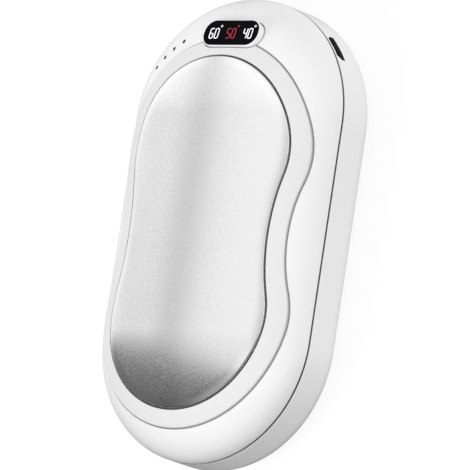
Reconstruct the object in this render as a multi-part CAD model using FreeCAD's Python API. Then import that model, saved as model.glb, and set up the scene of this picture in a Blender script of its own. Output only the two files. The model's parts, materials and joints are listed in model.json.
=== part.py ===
import FreeCAD
import Part
import math
import os
from FreeCAD import Vector

# Rechargeable hand warmer lying on its back, in millimetres.
# X runs across the width, +Y points to the display end and +Z out of the front plate.
# The origin is under the middle of the body, on the flat of the rear heating plate.

# Body
body_width = 64.0
body_length = 120.0
front_dome_height = 13.7
dome_fullness_share = 0.615
dome_search_steps = 40
rear_depth = 13.9
rear_edge_radius = 5.5
shell_wall = 2.0
shadow_gap_height = 0.5
shadow_gap_depth = 0.9
lip_height = 1.5
lip_wall = 1.0
lip_clearance = 0.25
cut_overrun = 5.0

# Heating plates, drawn in at the waist, and the raised border round the front one
plate_top_margin = 17.5
plate_bottom_margin = 12.0
plate_waist_radius = 69.0
plate_thickness = 1.2
plate_edge_chamfer = 0.35
plate_gap = 0.5
front_plate_proud = 0.95
rear_plate_proud = 0.5
border_side_margin = 2.85
border_end_width = 4.75
border_waist_radius = 56.0
border_rise = 0.35
border_groove_width = 0.4
border_groove_depth = 0.3
gasket_thickness = 0.3
gasket_width = 2.2
gasket_clearance = 0.1
ledge_width = 3.0
bond_line = 0.03

# Heater films and their temperature sensors
film_thickness = 0.3
film_inset = 0.6
sensor_diameter = 2.4
sensor_height = 0.8

# Battery cells, which fill the body up to the room at its ends, their cradle and their leads
cell_diameter = 18.4
cell_spacing = 19.2
cell_bottom_room = 21.0
cell_top_room = 34.0
cell_edge_round = 0.6
cell_cap_diameter = 6.0
cell_cap_height = 0.25
cradle_film_inset = 0.3
cradle_corner = 5.0
cradle_base = 1.5
cradle_rib_thickness = 3.0
cradle_rib_height = 6.0
cradle_rib_count = 4
cradle_end_wall = 2.0
cradle_end_height = 8.0
cradle_clearance = 0.1
tab_thickness = 0.2
tab_room = 0.6
tab_height = 7.0
tab_half_width = 14.0
pad_half_width = 14.0
pad_length = 10.0
pad_end_distance = 15.5
pad_slot_clearance = 0.3
lead_diameter = 1.3
lead_bend = 3.0
lead_rise = 0.5
lead_over_cradle = 1.4
lead_inset = 1.7
red_lead_x = 6.0
front_heater_lead_x = -5.0
rear_heater_lead_x = 5.0

# Screws that close the shells
screw_diameter = 2.0
screw_head_diameter = 3.6
screw_head_height = 1.4
screw_length = 14.0
screw_drive_width = 0.6
screw_drive_length = 2.2
screw_drive_depth = 0.5
screw_clearance = 0.15
screw_recess_depth = 3.5
top_screw_side_distance = 8.0
top_screw_below_board = 3.5
bottom_screw_edge_distance = 7.0
bottom_screw_angle = 45.5
post_diameter = 6.0
boss_diameter = 5.0

# Main circuit board and what it carries
board_thickness = 1.2
board_top_below_parting = 4.0
board_edge_gap = 1.1
board_depth = 23.5
board_screw_length = 5.0
board_post_diameter = 5.0
board_screw_x = (14.0, -8.0)
board_screw_rise = (3.0, 16.5)
chip_length = 5.0
chip_width = 4.0
chip_height = 1.4
chip_x = 9.0
chip_rise = 6.0
inductor_size = 6.0
inductor_height = 3.0
inductor_corner = 1.0
inductor_x = -8.0
inductor_rise = 7.0
transistor_length = 3.0
transistor_width = 1.6
transistor_height = 1.1
transistor_x = 8.0
transistor_rise = 10.7
transistor_pitch = 2.6

# Charging port, a five-pin receptacle set on the board and looking out at an angle
port_angle = 39.7
port_width = 7.5
port_narrow_width = 5.3
port_height = 2.6
port_straight_share = 0.5
port_sheet = 0.3
port_length = 5.4
port_set_back = 0.7
port_clearance = 0.15
port_back_block = 1.4
tongue_width = 3.8
tongue_thickness = 0.7
tongue_set_back = 0.6
contact_count = 5
contact_pitch = 0.65
contact_width = 0.35
contact_thickness = 0.15

# Display key, leaning with the dome at the top end
key_x = 1.9
key_end_distance = 11.4
key_tilt = 14.0
key_length = 17.9
key_width = 7.5
key_corner_share = 0.46
key_proud = 0.9
key_edge_round = 0.3
key_clearance = 0.25
key_flange = 0.8
key_flange_thickness = 1.0
key_flange_gap = 0.05
key_travel = 0.4
key_window_margin = 1.3
lens_margin = 0.25
lens_thickness = 1.2
lens_clearance = 0.03
collar_wall = 2.4
collar_depth = 3.4

# Display board under the key
switch_size = 3.0
switch_height = 2.0
switch_clearance = 0.1
plunger_diameter = 1.4
plunger_clearance = 0.1
plunger_rise = 0.85
plunger_insert = 0.8
plunger_end_room = 0.25
display_board_width = 9.0
display_board_thickness = 1.0
display_board_margin = 0.2
display_boss_clearance = 0.3
display_screw_diameter = 1.6
display_screw_length = 5.0
display_screw_head_diameter = 2.8
display_screw_head_height = 1.0
display_boss_diameter = 3.2
light_box_width = 6.4
light_box_wall = 0.7
light_box_room = 0.25
digit_pitch_share = 0.265
digit_chamber_share = 0.21
digit_chamber_width = 4.8
digit_light_length = 1.6
digit_light_width = 0.8
digit_light_height = 0.6
ribbon_width = 6.0
ribbon_thickness = 0.3
ribbon_below_key = 2.2

# Charge lights beside the display
light_count = 4
light_border_offset = 3.3
light_board_gap = 1.41
light_step_angle = 6.4
light_hole_diameter = 1.1
light_hole_clearance = 0.05
light_sink = 0.15
light_stem_diameter = 2.2
light_bar_width = 2.2
light_bar_height = 1.5
light_bar_rise = 3.0
light_length = 1.6
light_width = 0.8
light_height = 0.7
light_air_gap = 0.05

# Worked out from the sizes above
half_width = body_width / 2
top_end_y = body_length / 2
end_centre = top_end_y - half_width
parting_z = rear_plate_proud + rear_depth
crest_z = parting_z + front_dome_height
rear_floor_z = rear_plate_proud + shell_wall
plate_end_radius = half_width - border_side_margin - border_end_width
plate_half_spread = (body_length - plate_top_margin - plate_bottom_margin) / 2 - plate_end_radius
plate_middle_y = (plate_bottom_margin - plate_top_margin) / 2
plate_top_y = plate_middle_y + plate_half_spread
plate_under = plate_thickness - front_plate_proud
front_seat = plate_under + gasket_thickness
rear_seat_z = plate_thickness + gasket_thickness
cell_radius = cell_diameter / 2
cell_first_y = cell_bottom_room - top_end_y
cell_last_y = top_end_y - cell_top_room
cell_z = rear_floor_z + cradle_base + cradle_clearance + cell_radius
sensor_y = (cell_first_y + cell_last_y) / 2
cradle_half_width = plate_end_radius - ledge_width - film_inset - cradle_film_inset
cradle_end_top_z = rear_floor_z + cradle_base + cradle_end_height
board_lower_edge_y = top_end_y - board_depth
board_top_z = parting_z - board_top_below_parting
board_under_z = board_top_z - board_thickness
lead_radius = lead_diameter / 2
up = Vector(0, 0, 1)
along = Vector(0, 1, 0)


def dome_height_at(distance):
    """Height of the front dome above the parting plane, at a distance from its spine."""
    full = dome_fullness_share
    wanted_share = min(distance / half_width, 1)
    low_share = 0
    high_share = 1
    for _ in range(dome_search_steps):
        share = (low_share + high_share) / 2
        rest = 1 - share
        reach = rest ** 3 + 3 * rest ** 2 * share + 3 * rest * share ** 2 * full
        if reach > wanted_share:
            low_share = share
        else:
            high_share = share
    return front_dome_height * (3 * rest ** 2 * share * full + 3 * rest * share ** 2 + share ** 3)


key_y = top_end_y - key_end_distance
key_distance = math.hypot(key_x, max(key_y - end_centre, 0))
key_point = Vector(key_x, key_y, parting_z + dome_height_at(key_distance))
key_frame = FreeCAD.Placement(key_point, FreeCAD.Rotation(Vector(1, 0, 0), -key_tilt))
key_corner = key_width * key_corner_share
key_flange_top = -(collar_depth + key_flange_gap)
key_flange_under = key_flange_top - key_flange_thickness
switch_top = key_flange_under - plunger_rise
display_board_top = switch_top - switch_height
display_board_under = display_board_top - display_board_thickness
digit_pitch = key_length * digit_pitch_share
digit_chamber_length = key_length * digit_chamber_share
light_box_length = 2 * digit_pitch + digit_chamber_length + 2 * light_box_wall
switch_x = light_box_length / 2 + switch_clearance + switch_size / 2
display_screw_x = switch_x + switch_size / 2 + display_boss_clearance + display_boss_diameter / 2
display_board_length = 2 * display_screw_x + display_boss_diameter + 2 * display_board_margin
light_arc_radius = plate_end_radius + border_end_width + light_border_offset
light_first_x = key_x - display_board_length / 2 - light_board_gap - light_stem_diameter / 2
light_first_angle = math.degrees(math.acos(light_first_x / light_arc_radius))
lead_run_z = cell_z + tab_height / 2 + lead_rise + lead_bend


def box(x_size, y_size, z_low, z_high, x=0, y=0):
    """A block centred on x, y between two heights."""
    corner = Vector(x - x_size / 2, y - y_size / 2, z_low)
    return Part.makeBox(x_size, y_size, z_high - z_low, corner)


def rod(diameter, z_low, z_high, x=0, y=0):
    """An upright cylinder between two heights."""
    return Part.makeCylinder(diameter / 2, z_high - z_low, Vector(x, y, z_low))


def arc(start, middle, end):
    """A circular arc through three points."""
    return Part.Arc(start, middle, end).toShape()


def prism(wire, z_low, z_high):
    """An outline in the XY plane, made solid between two heights."""
    face = Part.Face(wire)
    face.translate(up * z_low)
    return face.extrude(up * (z_high - z_low))


def slab(length, width, corner, z_low, z_high):
    """A block with its four upright edges rounded."""
    block = box(length, width, z_low, z_high)
    uprights = [edge for edge in block.Edges if edge.tangentAt(0).cross(up).Length < 0.5]
    return block.makeFillet(corner, uprights)


def united(shapes):
    """Several touching solids as one, without seams on shared faces."""
    return shapes[0].fuse(shapes[1:]).removeSplitter()


def stadium(radius, z_low, z_high):
    """The body's plan, two half circles and two straight sides, made solid."""
    right = Part.LineSegment(Vector(radius, -end_centre, 0), Vector(radius, end_centre, 0)).toShape()
    left = Part.LineSegment(Vector(-radius, end_centre, 0), Vector(-radius, -end_centre, 0)).toShape()
    top = arc(right.Vertexes[1].Point, Vector(0, end_centre + radius, 0), left.Vertexes[0].Point)
    bottom = arc(left.Vertexes[1].Point, Vector(0, -end_centre - radius, 0), right.Vertexes[0].Point)
    return prism(Part.Wire([right, top, left, bottom]), z_low, z_high)


def dome_profile(radius, height):
    """Half of the dome's cross section, as a face in the XZ plane."""
    rim = Vector(radius, 0, 0)
    crest = Vector(0, 0, height)
    curve = Part.BezierCurve()
    curve.setPoles([rim, rim + crest * dome_fullness_share, crest + rim * dome_fullness_share, crest])
    axis = Part.LineSegment(crest, Vector(0, 0, 0)).toShape()
    base = Part.LineSegment(Vector(0, 0, 0), rim).toShape()
    return Part.Face(Part.Wire([curve.toShape(), axis, base]))


def dome(offset):
    """The front dome on the parting plane, grown or shrunk by an offset."""
    half = dome_profile(half_width + offset, front_dome_height + offset)
    half.translate(Vector(0, end_centre, parting_z))
    top_end = half.revolve(Vector(0, end_centre, 0), up, 180)
    bottom_end = top_end.copy()
    bottom_end.rotate(Vector(0, 0, 0), up, 180)
    right = half.extrude(along * (-2 * end_centre))
    left = right.mirror(Vector(0, 0, 0), Vector(1, 0, 0))
    return united([right, left, top_end, bottom_end])


def waisted(end_radius, side_radius, z_low, z_high):
    """The plates' plan, two round ends joined by drawn-in sides, made solid."""
    spread = plate_half_spread
    side_centre_x = math.sqrt((end_radius + side_radius) ** 2 - spread ** 2)
    waist_half_width = side_centre_x - side_radius
    share = end_radius / (end_radius + side_radius)
    join_x = side_centre_x * share
    join_y = spread * (1 - share)
    middle = Vector(0, plate_middle_y, 0)
    right_top = middle + Vector(join_x, join_y, 0)
    right_bottom = middle + Vector(join_x, -join_y, 0)
    left_top = middle + Vector(-join_x, join_y, 0)
    left_bottom = middle + Vector(-join_x, -join_y, 0)
    end = Vector(0, spread + end_radius, 0)
    waist = Vector(waist_half_width, 0, 0)
    edges = [
        arc(right_top, middle + end, left_top),
        arc(left_top, middle - waist, left_bottom),
        arc(left_bottom, middle - end, right_bottom),
        arc(right_bottom, middle + waist, right_top),
    ]
    return prism(Part.Wire(edges), z_low, z_high)


def plate_outline(margin, z_low, z_high):
    """The heating plate's plan with a margin all round."""
    return waisted(plate_end_radius + margin, plate_waist_radius - margin, z_low, z_high)


def border_outline(margin, z_low, z_high):
    """The plan of the raised border round the front plate."""
    end = plate_end_radius + border_end_width + margin
    return waisted(end, border_waist_radius - margin, z_low, z_high)


def inside_body(offset):
    """All the room under an offset of the front dome, down to the zero plane."""
    return united([dome(offset), stadium(half_width + offset, 0, parting_z)])


def front_layer(outline, upper, lower):
    """The part of an upright outline that lies between two offsets of the front dome."""
    return outline.common(dome(upper)).cut(dome(lower))


def front_cutter(outline, floor):
    """What has to go to sink an outline into the front dome as far as an offset."""
    return outline.cut(dome(floor))


def at_key(shape):
    """Carries a shape from the key's own frame into place."""
    shape.Placement = key_frame.multiply(shape.Placement)
    return shape


def at_port(shape):
    """Carries a shape from the charging port's own frame into place, mouth at its zero."""
    turn = FreeCAD.Rotation(up, port_angle)
    reach = half_width - port_set_back
    mouth = Vector(0, end_centre, board_top_z) + turn.multVec(Vector(reach, 0, 0))
    shape.Placement = FreeCAD.Placement(mouth, turn).multiply(shape.Placement)
    return shape


def shell_screw_places():
    """Where the four closing screws stand."""
    top_x = half_width - top_screw_side_distance
    top_y = board_lower_edge_y - top_screw_below_board
    angle = math.radians(bottom_screw_angle)
    reach = half_width - bottom_screw_edge_distance
    bottom_x = reach * math.cos(angle)
    bottom_y = -end_centre - reach * math.sin(angle)
    return [(top_x, top_y), (-top_x, top_y), (bottom_x, bottom_y), (-bottom_x, bottom_y)]


def board_screw_places():
    """Where the two screws of the main board stand."""
    return [(x, board_lower_edge_y + rise) for x, rise in zip(board_screw_x, board_screw_rise)]


def light_places():
    """Where the charge lights stand, on an arc outside the border."""
    places = []
    for number in range(light_count):
        angle = math.radians(light_first_angle + number * light_step_angle)
        x = light_arc_radius * math.cos(angle)
        places.append((x, plate_top_y + light_arc_radius * math.sin(angle)))
    return places


def key_slab(margin, z_low, z_high):
    """The display key's plan with a margin all round, in the key's frame."""
    return slab(key_length + 2 * margin, key_width + 2 * margin, key_corner + margin, z_low, z_high)


def front_shell():
    """White front cover with its plate seat, key collar and screw bosses."""
    top = crest_z + cut_overrun
    shell = dome(0).cut(dome(-shell_wall))
    groove = border_outline(border_groove_width, parting_z, top).cut(border_outline(0, parting_z, top))
    shell = shell.cut(front_cutter(groove, -border_groove_depth))
    shell = shell.fuse(front_layer(border_outline(0, parting_z, top), border_rise, -border_groove_depth))
    shell = shell.cut(front_cutter(plate_outline(plate_gap, parting_z, top), -front_seat))
    shell = shell.cut(plate_outline(-ledge_width, parting_z - cut_overrun, top))
    room = dome(-shell_wall / 2)
    collar = at_key(key_slab(collar_wall, -collar_depth, key_proud + cut_overrun)).common(room)
    inside = [collar]
    for side in (1, -1):
        boss = rod(display_boss_diameter, display_board_top, cut_overrun, side * display_screw_x)
        inside.append(at_key(boss).common(room))
    for x, y in shell_screw_places():
        inside.append(rod(boss_diameter, parting_z, crest_z, x, y).common(room))
    shell = shell.fuse(inside)
    opening = at_key(key_slab(key_clearance, -collar_depth - cut_overrun, key_proud + cut_overrun))
    flange_room = at_key(key_slab(key_flange + key_clearance, -collar_depth - cut_overrun, -collar_depth))
    shell = shell.cut([opening, flange_room])
    for x, y in light_places():
        shell = shell.cut(rod(light_hole_diameter, parting_z, top, x, y))
    for x, y in shell_screw_places():
        pilot_top = rear_plate_proud + screw_recess_depth + screw_length + screw_clearance
        shell = shell.cut(rod(screw_diameter, parting_z - cut_overrun, pilot_top, x, y))
    for side in (1, -1):
        pilot_top = display_board_under + display_screw_length + screw_clearance
        pilot = rod(display_screw_diameter, display_board_under, pilot_top, side * display_screw_x)
        shell = shell.cut(at_key(pilot))
    return shell.removeSplitter()


def rounded_tub(radius, z_low, z_high, edge_radius):
    """The body's plan made solid, with its lower edge rounded."""
    tub = stadium(radius, z_low, z_high)
    lower = [edge for edge in tub.Edges if edge.BoundBox.ZMax < (z_low + z_high) / 2]
    return tub.makeFillet(edge_radius, lower)


def port_profile(margin, x_low, x_high):
    """The port's outline, wide below and drawn in above, made solid along its own axis."""
    wide = port_width / 2 + margin
    narrow = port_narrow_width / 2 + margin
    shoulder = port_height * port_straight_share
    points = [
        Vector(x_low, -wide, -margin),
        Vector(x_low, wide, -margin),
        Vector(x_low, wide, shoulder),
        Vector(x_low, narrow, port_height + margin),
        Vector(x_low, -narrow, port_height + margin),
        Vector(x_low, -wide, shoulder),
    ]
    face = Part.Face(Part.makePolygon(points + points[:1]))
    return face.extrude(Vector(x_high - x_low, 0, 0))


def rear_shell():
    """White rear tub with its plate seat, posts, closing lip and port cut-out."""
    tub = rounded_tub(half_width, rear_plate_proud, parting_z, rear_edge_radius)
    inner_edge = rear_edge_radius - shell_wall
    room = rounded_tub(half_width - shell_wall, rear_floor_z, parting_z + cut_overrun, inner_edge)
    shell = tub.cut(room)
    lip_outer = half_width - shell_wall - lip_clearance
    lip_root = parting_z - lip_height
    lip = stadium(lip_outer, lip_root, parting_z + lip_height)
    root = stadium(half_width - shell_wall, lip_root, parting_z)
    lip = lip.fuse(root).cut(stadium(lip_outer - lip_wall, lip_root, parting_z + lip_height))
    posts = [lip]
    for x, y in shell_screw_places():
        posts.append(rod(post_diameter, rear_plate_proud, parting_z, x, y).common(tub))
    for x, y in board_screw_places():
        posts.append(rod(board_post_diameter, rear_plate_proud, board_under_z, x, y).common(tub))
    shell = shell.fuse(posts)
    shell = shell.cut(plate_outline(plate_gap, -cut_overrun, rear_seat_z))
    shell = shell.cut(plate_outline(-ledge_width, -cut_overrun, rear_floor_z + cut_overrun))
    reveal = stadium(half_width + cut_overrun, parting_z - shadow_gap_height, parting_z)
    reveal = reveal.cut(stadium(half_width - shadow_gap_depth, 0, parting_z))
    shell = shell.cut(reveal)
    recess_z = rear_plate_proud + screw_recess_depth
    for x, y in shell_screw_places():
        shell = shell.cut(rod(screw_diameter + 2 * screw_clearance, 0, parting_z, x, y))
        shell = shell.cut(rod(screw_head_diameter + 2 * screw_clearance, 0, recess_z, x, y))
    for x, y in board_screw_places():
        shell = shell.cut(rod(screw_diameter, rear_floor_z, board_under_z, x, y))
    shell = shell.cut(at_port(port_profile(port_clearance, -port_length, port_set_back + cut_overrun)))
    return shell.removeSplitter()


def front_heat_plate():
    """Aluminium plate, domed like the front cover and standing a little above it."""
    outline = plate_outline(0, parting_z, crest_z + cut_overrun)
    plate = front_layer(outline, front_plate_proud, front_plate_proud - plate_thickness)
    rim = [edge for edge in plate.Edges if is_outer_rim(edge)]
    return plate.makeChamfer(plate_edge_chamfer, rim)


def is_outer_rim(edge):
    """Tells the upper rim of the front plate from its other edges."""
    middle = edge.valueAt((edge.FirstParameter + edge.LastParameter) / 2)
    distance = math.hypot(middle.x, max(abs(middle.y) - end_centre, 0))
    height = middle.z - parting_z - dome_height_at(distance)
    shrunk = plate_outline(-plate_edge_chamfer, parting_z, crest_z + cut_overrun)
    return height > 0 and not shrunk.isInside(middle, plate_edge_chamfer / 2, True)


def rear_heat_plate():
    """Flat aluminium plate on the back, which the warmer rests on."""
    plate = plate_outline(0, 0, plate_thickness)
    rim = [edge for edge in plate.Edges if edge.BoundBox.ZMax < plate_thickness / 2]
    return plate.makeChamfer(plate_edge_chamfer, rim)


def gasket_outline(z_low, z_high):
    """The plan of the bonding gasket on a plate's seat."""
    outer_margin = plate_gap - gasket_clearance
    inner_margin = -plate_gap - gasket_width
    return plate_outline(outer_margin, z_low, z_high).cut(plate_outline(inner_margin, z_low, z_high))


def front_plate_gasket():
    """Foam bonding gasket between the front plate and its seat."""
    outline = gasket_outline(parting_z, crest_z)
    return front_layer(outline, -plate_under - bond_line, -front_seat + bond_line)


def rear_plate_gasket():
    """Foam bonding gasket between the rear plate and its seat."""
    return gasket_outline(plate_thickness, rear_seat_z)


def film_outline(z_low, z_high):
    """The heater films' plan, inside the windows of the shells."""
    return plate_outline(-ledge_width - film_inset, z_low, z_high)


def front_heater_film():
    """Flexible heater on the inside of the front plate."""
    upper = -plate_under - bond_line
    return front_layer(film_outline(parting_z, crest_z), upper, upper - film_thickness)


def rear_heater_film():
    """Flexible heater on the inside of the rear plate."""
    return film_outline(plate_thickness, plate_thickness + film_thickness)


def front_thermistor():
    """Temperature sensor under the front heater."""
    under = -plate_under - 2 * bond_line - film_thickness
    top = crest_z + under
    return rod(sensor_diameter, top - sensor_height, crest_z, 0, sensor_y).common(dome(under))


def rear_thermistor():
    """Temperature sensor on the rear heater."""
    low = plate_thickness + film_thickness
    return rod(sensor_diameter, low, low + sensor_height, 0, sensor_y)


def cell_body(side, radius, first_y, last_y):
    """A cylinder in the place of one battery cell."""
    start = Vector(side * cell_spacing / 2, first_y, cell_z)
    return Part.makeCylinder(radius, last_y - first_y, start, along)


def battery_cell(side):
    """One cylindrical cell with its raised positive end towards the display."""
    body = cell_body(side, cell_radius, cell_first_y, cell_last_y - cell_cap_height)
    body = body.makeFillet(cell_edge_round, [edge for edge in body.Edges if edge.Closed])
    cap = cell_body(side, cell_cap_diameter / 2, cell_last_y - 2 * cell_cap_height, cell_last_y)
    return body.fuse(cap).removeSplitter()


def inner_frame():
    """Moulded cradle that carries the two cells above the rear heater."""
    first = cell_first_y - tab_room
    last = cell_last_y + tab_room
    length = last - first + 2 * cradle_end_wall
    middle = (first + last) / 2
    base_top = rear_floor_z + cradle_base
    frame = slab(2 * cradle_half_width, length, cradle_corner, rear_floor_z, base_top)
    frame.translate(Vector(0, middle, 0))
    width = 2 * cradle_half_width - 2 * cradle_corner
    pieces = []
    for wall_y in (first - cradle_end_wall / 2, last + cradle_end_wall / 2):
        pieces.append(box(width, cradle_end_wall, rear_floor_z, cradle_end_top_z, 0, wall_y))
    step = (last - first) / (cradle_rib_count + 1)
    for number in range(cradle_rib_count):
        rib_y = first + step * (number + 1)
        pieces.append(box(width, cradle_rib_thickness, rear_floor_z, base_top + cradle_rib_height, 0, rib_y))
    frame = frame.fuse(pieces)
    for side in (1, -1):
        frame = frame.cut(cell_body(side, cell_radius + cradle_clearance, first, last))
    return frame.removeSplitter()


def battery_tabs():
    """Welded strips that join the two cells at each end."""
    low = cell_z - tab_height / 2
    high = cell_z + tab_height / 2
    bottom = box(2 * tab_half_width, tab_thickness, low, high, 0, cell_first_y - tab_thickness / 2)
    top = box(2 * tab_half_width, tab_thickness, low, high, 0, cell_last_y + tab_thickness / 2)
    return Part.Compound([bottom, top])


def battery_pads():
    """Two soft pads that hold the cells down and keep them off the front heater."""
    under = -plate_under - film_thickness - 3 * bond_line
    room = dome(under)
    pads = []
    for pad_y in (cell_last_y - pad_end_distance, cell_first_y + pad_end_distance):
        pad = box(2 * pad_half_width, pad_length, cell_z, crest_z, 0, pad_y).common(room)
        for cell_side in (1, -1):
            clear = cell_radius + cradle_clearance
            pad = pad.cut(cell_body(cell_side, clear, cell_first_y, cell_last_y))
        slot_top = lead_run_z + lead_radius + pad_slot_clearance
        slot_width = lead_diameter + 2 * pad_slot_clearance
        pad = pad.cut(box(slot_width, 2 * pad_length, cell_z - cell_radius, slot_top, 0, pad_y))
        pads.append(pad)
    return Part.Compound(pads)


def wire_tube(points, diameter):
    """A wire along straight runs that are joined by bends of one radius."""
    edges = []
    start = points[0]
    for before, corner, after in zip(points, points[1:], points[2:]):
        way_in = (corner - before).normalize()
        way_out = (after - corner).normalize()
        bend_start = corner - way_in * lead_bend
        bend_end = corner + way_out * lead_bend
        middle = corner + (way_out - way_in) * (lead_bend * (1 - math.sqrt(0.5)))
        edges.append(Part.LineSegment(start, bend_start).toShape())
        edges.append(arc(bend_start, middle, bend_end))
        start = bend_end
    edges.append(Part.LineSegment(start, points[-1]).toShape())
    path = Part.Wire(edges)
    section = Part.Wire(Part.makeCircle(diameter / 2, points[0], points[1] - points[0]))
    return path.makePipeShell([section], True, False)


def battery_lead_black():
    """Negative lead, from the lower strip along the valley between the cells to the board."""
    start_y = cell_first_y - tab_thickness / 2
    end_y = board_lower_edge_y + lead_inset
    points = [
        Vector(0, start_y, cell_z + tab_height / 2),
        Vector(0, start_y, lead_run_z),
        Vector(0, end_y, lead_run_z),
        Vector(0, end_y, board_top_z),
    ]
    return wire_tube(points, lead_diameter)


def battery_lead_red():
    """Positive lead, from the upper strip over the cradle's end to the board."""
    start_y = cell_last_y + tab_thickness
    end_y = board_lower_edge_y + lead_inset
    run_z = max(board_top_z + lead_bend, cradle_end_top_z + lead_over_cradle) + lead_radius
    points = [
        Vector(red_lead_x, start_y, run_z),
        Vector(red_lead_x, end_y, run_z),
        Vector(red_lead_x, end_y, board_top_z),
    ]
    return wire_tube(points, lead_diameter)


def front_heater_lead():
    """Lead that drops from the front heater to the board."""
    under = -plate_under - 2 * bond_line - film_thickness
    lead_y = board_lower_edge_y + lead_inset
    lead = rod(lead_diameter, board_top_z, crest_z, front_heater_lead_x, lead_y)
    return lead.common(inside_body(under))


def rear_heater_lead():
    """Lead that rises from the rear heater to the board."""
    low = plate_thickness + film_thickness
    lead_y = board_lower_edge_y + lead_radius
    return rod(lead_diameter, low, board_under_z, rear_heater_lead_x, lead_y)


def screw(diameter, length, head_diameter, head_height):
    """A pan-head screw with its shank up from the zero plane and its head below it."""
    head = rod(head_diameter, -head_height, 0)
    lower = [edge for edge in head.Edges if edge.Closed and edge.BoundBox.ZMax < -head_height / 2]
    head = head.makeFillet(head_height / 2, lower)
    shape = head.fuse(rod(diameter, 0, length))
    depth = -head_height + screw_drive_depth
    for x_size, y_size in ((screw_drive_length, screw_drive_width), (screw_drive_width, screw_drive_length)):
        shape = shape.cut(box(x_size, y_size, -2 * head_height, depth))
    return shape.removeSplitter()


def placed(shape, x, y, z):
    """A shape moved to a place."""
    shape.translate(Vector(x, y, z))
    return shape


def shell_screws():
    """Four screws driven from the back into the bosses of the front shell."""
    seat = rear_plate_proud + screw_recess_depth
    group = []
    for x, y in shell_screw_places():
        one = screw(screw_diameter, screw_length, screw_head_diameter, screw_head_height)
        group.append(placed(one, x, y, seat))
    return Part.Compound(group)


def board_screws():
    """Two screws that hold the main board on the posts of the rear shell."""
    group = []
    for x, y in board_screw_places():
        one = screw(screw_diameter, board_screw_length, screw_head_diameter, screw_head_height)
        one.rotate(Vector(0, 0, 0), Vector(1, 0, 0), 180)
        group.append(placed(one, x, y, board_top_z))
    return Part.Compound(group)


def display_screws():
    """Two small screws that hold the display board on its bosses."""
    group = []
    for side in (1, -1):
        one = screw(display_screw_diameter, display_screw_length, display_screw_head_diameter,
                    display_screw_head_height)
        group.append(at_key(placed(one, side * display_screw_x, 0, display_board_under)))
    return Part.Compound(group)


def main_board():
    """Main circuit board across the display end of the rear shell."""
    outer = half_width - shell_wall - board_edge_gap
    board = stadium(outer, board_under_z, board_top_z)
    width = body_width + cut_overrun
    length = body_length + board_lower_edge_y
    below = box(width, length, 0, crest_z, 0, board_lower_edge_y - length / 2)
    board = board.cut(below)
    for x, y in board_screw_places():
        board = board.cut(rod(screw_diameter + 2 * screw_clearance, 0, crest_z, x, y))
    return board


def charge_chip():
    """Charging and boost controller."""
    chip_y = board_lower_edge_y + chip_rise
    return box(chip_length, chip_width, board_top_z, board_top_z + chip_height, chip_x, chip_y)


def boost_inductor():
    """Boost inductor."""
    size = inductor_size
    block = slab(size, size, inductor_corner, board_top_z, board_top_z + inductor_height)
    return placed(block, inductor_x, board_lower_edge_y + inductor_rise, 0)


def heater_transistors():
    """The two transistors that switch the heaters."""
    group = []
    for number in range(2):
        y = board_lower_edge_y + transistor_rise + number * transistor_pitch
        top = board_top_z + transistor_height
        group.append(box(transistor_length, transistor_width, board_top_z, top, transistor_x, y))
    return Part.Compound(group)


def port_shell():
    """Folded steel shell of the charging port, open to the front."""
    shell = port_profile(0, -port_length, 0)
    return at_port(shell.cut(port_profile(-port_sheet, -port_length + port_sheet, cut_overrun)))


def port_tongue():
    """Plastic block and tongue inside the port."""
    start = -port_length + port_sheet
    block = port_profile(-port_sheet, start, start + port_back_block)
    middle = port_height / 2
    low = middle - tongue_thickness / 2
    high = middle + tongue_thickness / 2
    reach = -tongue_set_back - start
    tongue = box(reach, tongue_width, low, high, start + reach / 2)
    return at_port(united([block, tongue]))


def port_contacts():
    """Row of contacts on the underside of the tongue."""
    start = -port_length + port_sheet + port_back_block
    reach = -2 * tongue_set_back - start
    high = port_height / 2 - tongue_thickness / 2
    group = []
    for number in range(contact_count):
        y = (number - (contact_count - 1) / 2) * contact_pitch
        strip = box(reach, contact_width, high - contact_thickness, high, start + reach / 2, y)
        group.append(at_port(strip))
    return Part.Compound(group)


def key_cap():
    """White surround of the display key, with the flange that keeps it in the shell."""
    body = key_slab(0, key_flange_top, key_proud)
    rim = [edge for edge in body.Edges if edge.BoundBox.ZMin > key_proud / 2]
    body = body.makeFillet(key_edge_round, rim)
    flange = key_slab(key_flange, key_flange_under, key_flange_top)
    cap = body.fuse(flange)
    cap = cap.cut(key_slab(-lens_margin, key_proud - lens_thickness, key_proud + cut_overrun))
    cap = cap.cut(key_slab(-key_window_margin, key_flange_under - cut_overrun, key_proud))
    return at_key(cap.removeSplitter())


def display_lens():
    """Dark lens set into the display key."""
    margin = -lens_margin - lens_clearance
    return at_key(key_slab(margin, key_proud - lens_thickness, key_proud))


def key_plungers():
    """Plungers of the two switches, which travel with the key."""
    low = switch_top - plunger_insert
    group = []
    for side in (1, -1):
        group.append(at_key(rod(plunger_diameter, low, key_flange_under, side * switch_x)))
    return Part.Compound(group)


def key_switches():
    """Bodies of the two switches under the key."""
    bore = plunger_diameter + 2 * plunger_clearance
    bore_low = switch_top - plunger_insert - key_travel - plunger_end_room
    group = []
    for side in (1, -1):
        body = box(switch_size, switch_size, display_board_top, switch_top, side * switch_x)
        group.append(at_key(body.cut(rod(bore, bore_low, switch_top, side * switch_x))))
    return Part.Compound(group)


def display_board():
    """Small board under the key, square to the key's travel."""
    board = box(display_board_length, display_board_width, display_board_under, display_board_top)
    for side in (1, -1):
        hole = display_screw_diameter + 2 * screw_clearance
        board = board.cut(rod(hole, display_board_under, display_board_top, side * display_screw_x))
    return at_key(board)


def digit_places():
    """Where the three figures of the display stand along the key."""
    return [number * digit_pitch for number in (-1, 0, 1)]


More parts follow.
